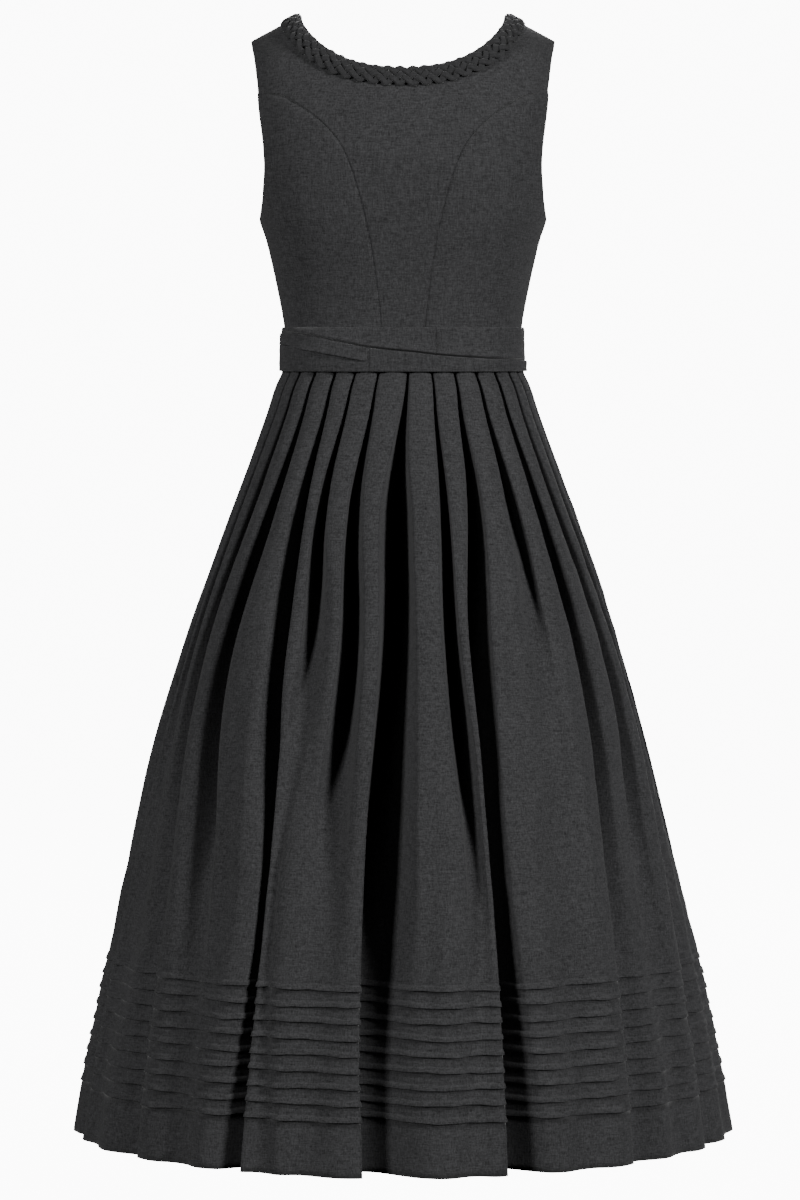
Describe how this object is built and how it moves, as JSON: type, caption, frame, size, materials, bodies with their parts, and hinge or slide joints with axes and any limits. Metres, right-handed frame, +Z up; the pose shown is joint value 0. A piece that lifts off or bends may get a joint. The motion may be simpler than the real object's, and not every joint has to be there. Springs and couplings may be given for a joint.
{
  "type": "dirndl",
  "caption": "Sleeveless knee-length dirndl in charcoal cloth: princess-seamed bodice, plaited neck trim, two-band belt, pleated skirt with tucks above the hem.",
  "frame": {"origin": "between the shoulders, level with the top of the neck trim, where the wearer's shoulders hold the dress up", "axes": "+Z up, -Y out of the wearer's back, +X towards the wearer's right"},
  "size_m": [0.7234, 0.596, 1.2311],
  "materials": {
    "bodice_linen": "plain-woven linen look cloth, charcoal, matt, lightly pressed",
    "plait_cord": "soft cloth cords in the same charcoal, matt",
    "belt_linen": "the same charcoal cloth, doubled and pressed",
    "skirt_linen": "plain-woven linen look cloth, charcoal, matt, with pressed pleats"
  },
  "bodies": {
    "root": {"bodice_back": "bodice_linen", "bodice_side_back_left": "bodice_linen", "bodice_side_back_right": "bodice_linen", "bodice_side_front_left": "bodice_linen", "bodice_side_front_right": "bodice_linen", "bodice_front_left": "bodice_linen", "bodice_front_right": "bodice_linen", "neck_braid": "plait_cord", "belt_under_left": "belt_linen", "belt_under_right": "belt_linen", "belt_over_left": "belt_linen", "belt_over_right": "belt_linen", "skirt_back": "skirt_linen", "skirt_front_left": "skirt_linen", "skirt_front_right": "skirt_linen"}
  },
  "joints": []
}
